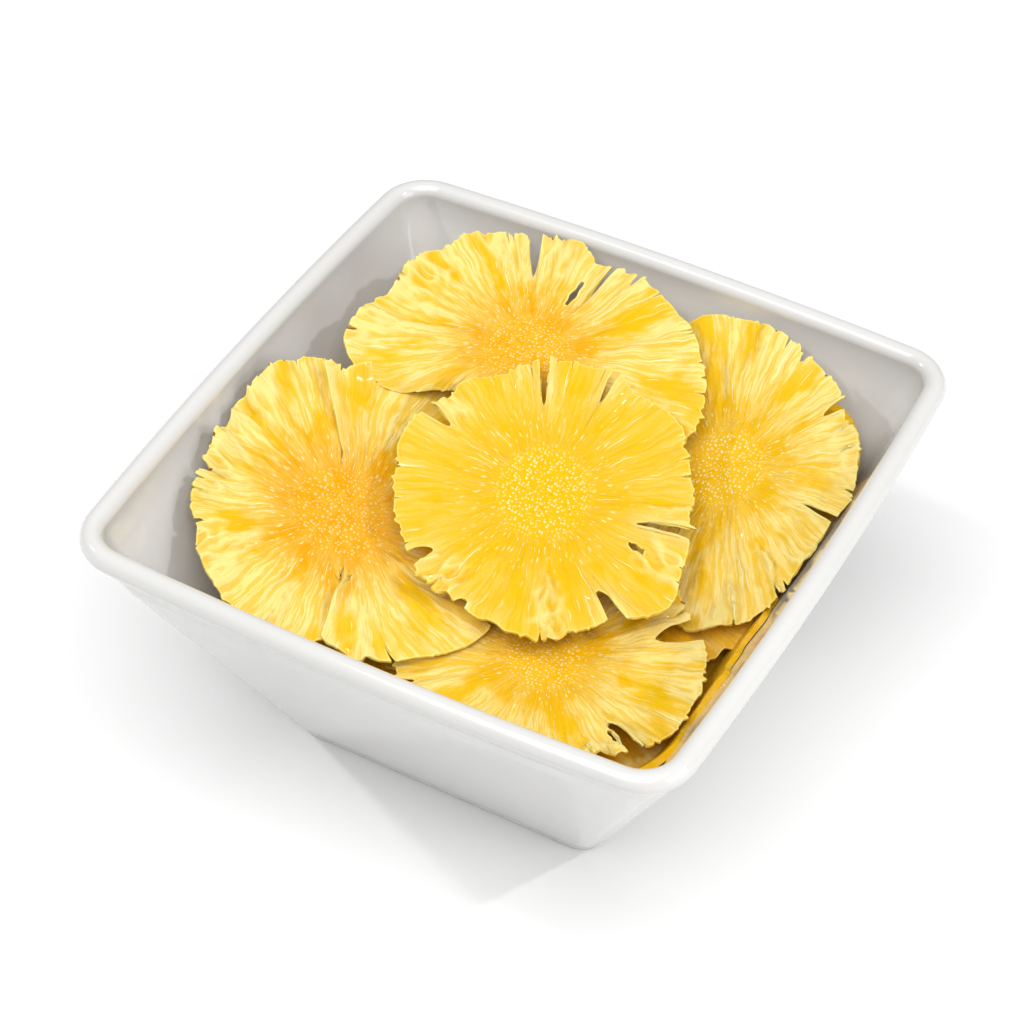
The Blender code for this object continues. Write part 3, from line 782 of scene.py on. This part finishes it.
pieces = {}
for name, spec in SLICES.items():
    fine = "low" not in name
    steps, shares = (STEPS_ROUND, RING_SHARES) if fine else (LOW_STEPS, RING_SHARES[::2])
    pieces[name] = model_slice(name, steps, shares)
    print(pieces[name].name, triangles(pieces[name]), "triangles")

# %% [markdown]
# ## The hidden slices
#
# What lies under the slices that show is the rest of the same fruit, and only its shoulders can be
# seen, in the corners of the bowl. One slice-like sheet over the top of the pile would do from above,
# but its side would be a smooth wall. So the pile is modelled as rings too: a top that follows the
# pile, and a side that steps in and out from one slice's rim to the next. Along one wall a ragged
# bank of flesh stands up against the glaze, and along the opposite wall the pile dips out of sight.

# %% Model the hidden pile
HEAP_CORNER = 27.0 * MM
HEAP_ROUNDEST = 0.6
HEAP_HIGHEST = 81.0 * MM
HEAP_LAYERS = 9
HEAP_STAGGER = 1.6 * MM
HEAP_STEPS = 240
HEAP_BACK = 0.5 * MM
BANK = (-28, 52, 60)     # bearing, half-width in degrees, height in millimetres
BANK_SHARES = (0, 0.3, 0.6, 0.95)
DIP = (185, 85, 9)       # bearing, half-width in degrees, drop in millimetres


def heap_reach(turn, z, stand_back):
    """Distance from the bowl's axis to the pile's side, which fills the bowl but for its corners."""
    half = wall_inside(z) - WALL_AIR - stand_back
    corner = np.minimum(HEAP_CORNER, HEAP_ROUNDEST * half)
    c, s = np.abs(np.cos(turn)), np.abs(np.sin(turn))
    straight = half / np.maximum(c, s)
    pivot = half - corner
    along = pivot * (c + s)
    bent = along + np.sqrt(np.maximum(along * along - 2 * pivot * pivot + corner * corner, 0))
    return np.where(np.minimum(c, s) * straight <= pivot, straight, bent)


def heap_rings():
    around = np.arange(HEAP_STEPS) * 2 * np.pi / HEAP_STEPS
    z = np.full(HEAP_STEPS, HEAP_LEVEL)
    for _ in range(12):
        reach = heap_reach(around, z, HEAP_BACK)
        z = np.minimum(heap_top(reach * np.cos(around), reach * np.sin(around)), HEAP_HIGHEST)
    turns = np.degrees(around)
    bearing, half_width, drop = DIP
    dip = drop * MM * step_up(half_width - np.abs(bearing_gap(turns, bearing)), 0, 25)
    z = z - dip
    reach = heap_reach(around, z, HEAP_BACK)
    bearing, half_width, height = BANK
    part = step_up(half_width - np.abs(bearing_gap(turns, bearing)), 0, 14)
    ragged = height + 2.2 * np.sin(around * 17) + 1.4 * np.sin(around * 41)
    bank = np.maximum(z, z + (ragged * MM - z) * part)
    bottom = FLOOR_TOP + FLOOR_FILLET
    rings = []
    for level in np.arange(HEAP_LAYERS * 4, -1, -1) / 4:
        height = bank + (bottom - bank) * level / HEAP_LAYERS
        phase = level + 0.4 * np.sin(3 * around) + 0.3 * np.sin(5 * around + 1)
        back = HEAP_STAGGER * (0.5 + 0.5 * np.sin(phase * 2 * np.pi)) * min(level, 1)
        rings.append(polar_ring(heap_reach(around, height, back), around, height))
    for share in BANK_SHARES:
        height = bank + (z - bank) * share
        side = heap_reach(around, height, (1.7 + 0.6 * share) * MM)
        rings.append(polar_ring(side, around, height))
    for share in np.linspace(0.96, 0.03, 24):
        x, y = share * reach * np.cos(around), share * reach * np.sin(around)
        top = np.minimum(heap_top(x, y), HEAP_HIGHEST) - dip * step_up(share, 0.5, 0.9)
        wave = uneven(x / 9 / MM, y / 9 / MM, 0 * x, 40) * 0.35 * MM
        rings.append(np.stack([x, y, top + wave * step_up(1 - share, 0, 0.2)], axis=1))
    return rings


heap = ring_by_ring("pineapple_beneath", heap_rings(), close_first=True, close_last=True)
heap_places = points_of(heap.data)
heap_core = np.array([-20 * MM, 10 * MM, 0])
nothing = np.zeros(len(heap_places))
keep_flat_place(heap.data, heap_places - heap_core, nothing + 9, nothing, nothing)
smooth_up_to(heap, 60)
print("pile:", triangles(heap), "triangles")

# %% [markdown]
# ## Materials: helpers
#
# A shader is a web of small nodes. A few helpers keep the web readable: they add a node and feed its
# sockets, do sums, make a soft step between two values, blend two colours or move a point.

# %% Node helpers
def feed(tree, socket, value):
    """Links a socket to another one, or sets its value."""
    if isinstance(value, bpy.types.NodeSocket):
        tree.links.new(value, socket)
    else:
        socket.default_value = value


def add_node(tree, kind, settings, **inputs):
    node = tree.nodes.new(kind)
    for name, value in settings.items():
        setattr(node, name, value)
    for name, value in inputs.items():
        feed(tree, node.inputs[name.replace("_", " ")], value)
    return node


def sum_of(tree, operation, *values):
    node = tree.nodes.new("ShaderNodeMath")
    node.operation = operation
    for socket, value in zip(node.inputs, values):
        feed(tree, socket, value)
    return node.outputs[0]


def times(tree, first, second):
    return sum_of(tree, "MULTIPLY", first, second)


def larger(tree, first, second):
    return sum_of(tree, "MAXIMUM", first, second)


def soft_step(tree, value, start, end, low=0.0, high=1.0):
    """low where value is before start, high past end, and smooth between."""
    node = add_node(tree, "ShaderNodeMapRange", {"interpolation_type": "SMOOTHSTEP"},
                    Value=value, From_Min=start, From_Max=end, To_Min=low, To_Max=high)
    return node.outputs["Result"]


def blend_colour(tree, amount, first, second):
    node = tree.nodes.new("ShaderNodeMix")
    node.data_type = "RGBA"
    feed(tree, node.inputs[0], amount)
    feed(tree, node.inputs[6], first)
    feed(tree, node.inputs[7], second)
    return node.outputs[2]


def scaled(tree, vector, factor):
    node = tree.nodes.new("ShaderNodeVectorMath")
    node.operation = "SCALE"
    feed(tree, node.inputs[0], vector)
    feed(tree, node.inputs["Scale"], factor)
    return node.outputs[0]


def added(tree, first, second):
    node = tree.nodes.new("ShaderNodeVectorMath")
    feed(tree, node.inputs[0], first)
    feed(tree, node.inputs[1], second)
    return node.outputs[0]


def length_of(tree, vector):
    node = add_node(tree, "ShaderNodeVectorMath", {"operation": "LENGTH"})
    feed(tree, node.inputs[0], vector)
    return node.outputs["Value"]


def kept_value(tree, name):
    """One of the values that each point kept from the modelling."""
    return add_node(tree, "ShaderNodeAttribute", {"attribute_name": name}).outputs["Fac"]


def new_group(name, inputs, outputs):
    group = bpy.data.node_groups.new(name, "ShaderNodeTree")
    for socket, kind in inputs.items():
        group.interface.new_socket(socket, in_out="INPUT", socket_type=kind)
    for socket, kind in outputs.items():
        group.interface.new_socket(socket, in_out="OUTPUT", socket_type=kind)
    entry = group.nodes.new("NodeGroupInput")
    leave = group.nodes.new("NodeGroupOutput")
    return group, entry.outputs, leave.inputs


def set_all(node, values):
    for name, value in values.items():
        node.inputs[name].default_value = value


NUMBER, VECTOR = "NodeSocketFloat", "NodeSocketVector"
print("node helpers ready")

# %% [markdown]
# ## The fibres of a slice
#
# Cut across, a pineapple shows its bundles of fibre end on at the core, as pale dots, and leaning
# over more and more towards the rim, as dashes that grow into long lines. All of them run away from
# the core. A plain noise would be as long as it is wide, so we first squeeze the plane: a point at
# radius r is moved to r to a small power. A round spot in the squeezed plane is a long dash in the
# real one, and the smaller the power, the longer the dash.

# %% A group that draws the fibres
FIBRES, place_in, fibres_out = new_group(
    "fruit fibres",
    {"Place": VECTOR, "Seed": NUMBER, "Core": NUMBER},
    {"Dots": NUMBER, "Dashes": NUMBER, "Lines": NUMBER, "Streaks": NUMBER, "Blotches": NUMBER,
     "Height": NUMBER})
tree = FIBRES
flat_place = place_in["Place"]


def shifted(vector, along_x, along_y):
    """The vector moved by so much for each unit of the seed, so that no two slices are the same."""
    move = add_node(tree, "ShaderNodeCombineXYZ", {}, X=times(tree, place_in["Seed"], along_x),
                    Y=times(tree, place_in["Seed"], along_y))
    return added(tree, vector, move.outputs[0])


def flat_noise(vector, scale, detail, roughness=0.5):
    return add_node(tree, "ShaderNodeTexNoise", {"noise_dimensions": "2D"}, Vector=vector, Scale=scale,
                    Detail=detail, Roughness=roughness)


bend = flat_noise(shifted(flat_place, 31.0, 57.0), 0.10, 2.0)
centred = add_node(tree, "ShaderNodeVectorMath", {"operation": "MULTIPLY_ADD"})
feed(tree, centred.inputs[0], bend.outputs["Color"])
centred.inputs[1].default_value = (2.4, 2.4, 0.0)
centred.inputs[2].default_value = (-1.2, -1.2, 0.0)
wandering = added(tree, flat_place, centred.outputs[0])
radius = larger(tree, length_of(tree, wandering), 0.5)


def squeezed(power, cell, at_radius, shift):
    """The plane with radius r moved to a small power of r. A unit there is one cell, which is cell
    millimetres wide at at_radius, and 1 / power times as long."""
    spread = at_radius ** (1.0 - power) / cell
    factor = times(tree, sum_of(tree, "POWER", radius, power - 1.0), spread)
    return shifted(scaled(tree, wandering, factor), shift, 1.7 * shift)


def spots(vector, randomness, outer, inner, kept):
    """One spot in a cell, of which a share is kept, each as wide and as bright as chance has it."""
    cell = add_node(tree, "ShaderNodeTexVoronoi", {"voronoi_dimensions": "2D"},
                    Vector=vector, Scale=1.0, Randomness=randomness)
    chance = add_node(tree, "ShaderNodeSeparateColor", {}, Color=cell.outputs["Color"])
    shown = soft_step(tree, chance.outputs[0], 1.0 - kept, 1.0 - 0.5 * kept)
    wide = sum_of(tree, "MULTIPLY_ADD", chance.outputs[1], 0.7, 0.65)
    spot = soft_step(tree, sum_of(tree, "DIVIDE", cell.outputs["Distance"], wide), outer, inner)
    return times(tree, spot, shown)


def within(start, end):
    """1 nearer the core than start times its radius, 0 past end times, and soft between."""
    core = place_in["Core"]
    return soft_step(tree, from_core, times(tree, core, end), times(tree, core, start))


from_core = length_of(tree, flat_place)
in_core = within(0.75, 1.15)
off_core = sum_of(tree, "SUBTRACT", 1.0, in_core)
dots = spots(squeezed(0.97, 1.12, 10.0, 3.1), 0.85, 0.33, 0.16, 1.0)
dots = times(tree, dots, in_core)
short = spots(squeezed(0.28, 1.10, 16.0, 5.3), 1.0, 0.20, 0.08, 0.75)
short = times(tree, times(tree, short, off_core), within(1.2, 2.2))
middling = spots(squeezed(0.08, 1.5, 30.0, 7.9), 1.0, 0.10, 0.04, 0.6)
long = spots(squeezed(0.03, 2.0, 30.0, 11.3), 1.0, 0.09, 0.03, 0.75)
thread = flat_noise(squeezed(0.06, 1.0, 30.0, 13.7), 1.0, 4.0, 0.7).outputs[0]
blotch = flat_noise(squeezed(0.4, 8.0, 30.0, 17.9), 1.0, 3.0, 0.55).outputs[0]
grain = flat_noise(shifted(flat_place, 5.0, 9.0), 1.4, 2.0).outputs[0]

# What stands up to the touch: the spots, the fine threads and a light grain.
marks = larger(tree, larger(tree, dots, short), larger(tree, middling, long))
threads = times(tree, times(tree, thread, 1.3), off_core)
rough = sum_of(tree, "MULTIPLY_ADD", grain, 0.45, threads)
drawn = {
    "Dots": dots,
    "Dashes": larger(tree, short, times(tree, middling, off_core)),
    "Lines": times(tree, long, off_core),
    "Streaks": times(tree, soft_step(tree, thread, 0.38, 0.64), off_core),
    "Blotches": blotch,
    "Height": sum_of(tree, "MULTIPLY_ADD", marks, 0.4, rough),
}
for name, value in drawn.items():
    feed(tree, fibres_out[name], value)
print("fibre nodes:", len(FIBRES.nodes))

# %% [markdown]
# ## The flesh
#
# Ripe flesh is clear yellow where it is full of juice, and milky where it holds air: near the rim and
# in soft blotches between the fruitlets. Light enters it, wanders and leaves again, so the shader
# scatters light below the surface, red and yellow further than blue. Over it lies a film of juice,
# which is a coat: smooth, with small sharp lights wherever the fibres lift it.

# %% Make a flesh material
CLEAR = (0.74, 0.45, 0.001, 1.0)
# Deep amber: the flesh round the core, and painted shade on the hidden lower slices and the pile.
DEEP_AMBER_AND_SHADE = (0.74, 0.305, 0.001, 1.0)
# Milky flesh. On raised crests, lips and pleat ridges the same colour is also a painted highlight.
MILKY_AND_HIGHLIGHT_COLOUR = (0.80, 0.64, 0.22, 1.0)
FIBRE_PALE = (0.86, 0.80, 0.42, 1.0)
RIM_PALE = (0.88, 0.74, 0.22, 1.0)
PEEL = (0.26, 0.10, 0.012, 1.0)


def make_flesh(name, seed, core, depth, reach, milk, shown):
    """core is the radius of the dotted core in millimetres. depth is how amber the flesh looks round
    it, up to reach, milk how milky it is towards the rim, and shown how clear its strands are, all
    three from 0 to 1. Where reach spans the whole piece, on the hidden lower slices and the pile,
    the deep amber is painted shade of lying under the others."""
    made = bpy.data.materials.new(name)
    made.use_nodes = True
    tree = made.node_tree
    shader = tree.nodes["Principled BSDF"]
    flat = add_node(tree, "ShaderNodeUVMap", {"uv_map": "flat"})
    place = add_node(tree, "ShaderNodeMapping", {}, Vector=flat.outputs[0],
                     Location=(-FLAT_SPAN / 2, -FLAT_SPAN / 2, 0.0), Scale=(FLAT_SPAN, FLAT_SPAN, 0.0))
    fibres = add_node(tree, "ShaderNodeGroup", {"node_tree": FIBRES},
                      Place=place.outputs[0], Seed=seed, Core=core)
    dots, dashes, lines, streaks, blotches, height = fibres.outputs
    from_core = length_of(tree, place.outputs[0])
    inset = kept_value(tree, "inset")

    # Clear yellow, deeper amber round the core. On the hidden lower slices and the pile the deep amber
    # spreads over the whole piece, as painted shade.
    amber_and_shade = soft_step(tree, from_core, reach, core * 0.8, 0.0, depth)
    amber_and_shade = times(tree, amber_and_shade, soft_step(tree, blotches, 0.75, 0.35, 0.6, 1.0))
    body = blend_colour(tree, amber_and_shade, CLEAR, DEEP_AMBER_AND_SHADE)

    # Milky blotches and a milky rim, drawn out into streaks, and where it is bent up, milky bruises with a
    # painted highlight on the crests.
    cloud = soft_step(tree, blotches, 0.34, 0.57, 0.0, milk)
    outwards = soft_step(tree, from_core, core, core * 2.2, 0.25, 1.0)
    pale_rim = soft_step(tree, inset, 9.0, 0.5, 0.0, 0.15)
    milky_and_highlight = times(tree, sum_of(tree, "ADD", cloud, pale_rim), outwards)
    milky_and_highlight = times(tree, milky_and_highlight, soft_step(tree, streaks, 0.1, 0.8, 0.3, 1.0))
    milky_and_highlight = sum_of(tree, "ADD", milky_and_highlight, times(tree, kept_value(tree, "milky_and_highlight"), 0.8))
    body = blend_colour(tree, sum_of(tree, "MINIMUM", milky_and_highlight, 1.0), body, MILKY_AND_HIGHLIGHT_COLOUR)

    # Pale strands, the thin pale line where light comes out at the rim, and scraps of brown peel.
    strands = larger(tree, times(tree, lines, shown), times(tree, dashes, 0.8 * shown))
    strands = larger(tree, strands, times(tree, dots, 0.8 - 0.35 * depth))
    strands = larger(tree, strands, times(tree, streaks, 0.03))
    fresh = blend_colour(tree, strands, body, FIBRE_PALE)
    lit_rim = times(tree, soft_step(tree, inset, 0.6, 0.2, 0.0, 0.5),
                     soft_step(tree, inset, 0.0, 0.12, 0.2, 1.0))
    fresh = blend_colour(tree, lit_rim, fresh, RIM_PALE)
    brown = soft_step(tree, kept_value(tree, "peel"), 0.3, 0.7)
    feed(tree, shader.inputs["Base Color"], blend_colour(tree, brown, fresh, PEEL))
    bump = add_node(tree, "ShaderNodeBump", {}, Height=height, Strength=0.9, Distance=0.3 * MM)
    feed(tree, shader.inputs["Normal"], bump.outputs[0])
    set_all(shader, {
        "Roughness": 0.3, "Specular IOR Level": 0.04, "Subsurface Weight": 0.4,
        "Subsurface Radius": (1.0, 0.85, 0.3), "Subsurface Scale": 1.5 * MM, "Coat Weight": 0.1,
        "Coat Roughness": 0.08,
    })
    return made


# Seed, core, depth, reach, milk and shown.
FLESHES = {
    "slice_top": (1.0, 14.0, 0.10, 36.0, 0.23, 1.0),
    "slice_back": (2.0, 13.0, 0.65, 34.0, 1.0, 1.0),
    "slice_left": (3.0, 14.0, 0.80, 36.0, 1.0, 1.0),
    "slice_right": (4.0, 12.0, 0.15, 31.0, 1.0, 1.0),
    "slice_front": (5.0, 12.0, 0.35, 31.0, 1.0, 1.0),
    # The hidden lower slices are deep amber over the whole slice, as painted shade of lying under the
    # others.
    "slice_low_left": (6.0, 16.0, 0.7, 200.0, 0.2, 0.35),
    "slice_low_front": (7.0, 16.0, 0.6, 200.0, 0.2, 0.35),
    "slice_low_right": (8.0, 16.0, 0.6, 200.0, 0.2, 0.35),
}
for name, looks in FLESHES.items():
    pieces[name].data.materials.append(make_flesh(name.replace("slice", "flesh"), *looks))
# The pile, too, is deep amber all over, as painted shade.
heap.data.materials.append(make_flesh("flesh_beneath", 9.0, 30.0, 0.5, 300.0, 0.1, 0.35))
print("flesh materials:", len(FLESHES) + 1)

# %% [markdown]
# ## The glaze
#
# Porcelain is white clay under a clear glass. Its glaze pools a little, so its gloss wavers softly,
# and the white of the clay drifts a little from place to place.

# %% Make the porcelain
def make_porcelain():
    made = bpy.data.materials.new("glazed porcelain")
    made.use_nodes = True
    tree = made.node_tree
    shader = tree.nodes["Principled BSDF"]
    where = add_node(tree, "ShaderNodeTexCoord", {})
    pool = add_node(tree, "ShaderNodeTexNoise", {}, Vector=where.outputs["Object"], Scale=26.0, Detail=2.0)
    tint = add_node(tree, "ShaderNodeTexNoise", {}, Vector=where.outputs["Object"], Scale=9.0, Detail=3.0)
    shade = soft_step(tree, tint.outputs[0], 0.3, 0.7)
    feed(tree, shader.inputs["Base Color"],
         blend_colour(tree, shade, (0.61, 0.605, 0.59, 1.0), (0.64, 0.635, 0.62, 1.0)))
    feed(tree, shader.inputs["Roughness"], soft_step(tree, pool.outputs[0], 0.3, 0.7, 0.10, 0.16))
    bump = add_node(tree, "ShaderNodeBump", {}, Height=pool.outputs[0], Strength=0.15, Distance=0.4 * MM)
    feed(tree, shader.inputs["Normal"], bump.outputs[0])
    set_all(shader, {"IOR": 1.5, "Coat Weight": 0.3, "Coat Roughness": 0.05})
    return made


bowl.data.materials.append(make_porcelain())
print("porcelain nodes:", len(bowl.data.materials[0].node_tree.nodes))

# %% [markdown]
# ## Which piece stands for which solid
#
# Every new piece rides on the one body that there is, and takes over from its solid.

# %% Hand the pieces over
for name, piece in pieces.items():
    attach(piece, "root")
    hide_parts(name)
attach(heap, "root")
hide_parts("slices_beneath")
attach(bowl, "root")
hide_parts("bowl")
print("pieces:", len(pieces) + 2)

# %% [markdown]
# ## The studio
#
# Food like this is shot on a plain pale floor in wide, soft light, so that nothing throws a hard
# shadow and the juice still glitters. A large soft lamp hangs above the near side, a weaker one fills
# in from the right, two small ones give the small sharp lights, and a pale world fills the rest.

# %% Floor, lamps, world and camera
bpy.ops.object.select_all(action="DESELECT")
bpy.ops.mesh.primitive_plane_add(size=6.0, location=(0, 0, 0))
floor = bpy.context.object
floor.name = "studio_floor"
pale = bpy.data.materials.new("pale floor")
pale.use_nodes = True
set_all(pale.node_tree.nodes["Principled BSDF"], {"Base Color": (0.85, 0.85, 0.85, 1.0), "Roughness": 0.7})
floor.data.materials.append(pale)

AIM = Vector((0, 0, 0.06))
LAMPS = {
    "wide soft": ((0.15, -0.55, 1.5), 1.4, 22.5),
    "right fill": ((1.5, -0.1, 0.6), 1.0, 8.0),
    "left spark": ((-0.95, -0.2, 0.85), 0.07, 3.5),
    "right spark": ((0.9, 0.3, 1.0), 0.07, 3.5),
}
for name, (place, size, power) in LAMPS.items():
    light = bpy.data.lights.new(name, "AREA")
    light.size = size
    light.energy = power
    lamp = bpy.data.objects.new(name, light)
    bpy.context.collection.objects.link(lamp)
    lamp.location = place
    lamp.rotation_euler = (AIM - Vector(place)).to_track_quat("-Z", "Y").to_euler()

world = bpy.data.worlds.new("pale studio")
world.use_nodes = True
set_all(world.node_tree.nodes["Background"], {"Color": (1.0, 1.0, 1.0, 1.0), "Strength": 0.38})
bpy.context.scene.world = world
bpy.context.scene.view_settings.view_transform = "Standard"

CAMERA_PLACE = Vector((0.28961, -0.52244, 0.67212))
CAMERA_AIM = Vector((-0.0087, 0.0087, 0.06))
CAMERA_ROLL = -0.26
CAMERA_LENS = 104.9
camera = bpy.data.objects.new("camera", bpy.data.cameras.new("camera"))
bpy.context.collection.objects.link(camera)
look = (CAMERA_AIM - CAMERA_PLACE).to_track_quat("-Z", "Y").to_matrix().to_4x4()
camera.matrix_world = Matrix.Translation(CAMERA_PLACE) @ look @ Matrix.Rotation(
    np.radians(CAMERA_ROLL), 4, "Z")
camera.data.lens = CAMERA_LENS
camera.data.clip_start = 0.01
bpy.context.scene.camera = camera
print("camera at", tuple(CAMERA_PLACE))
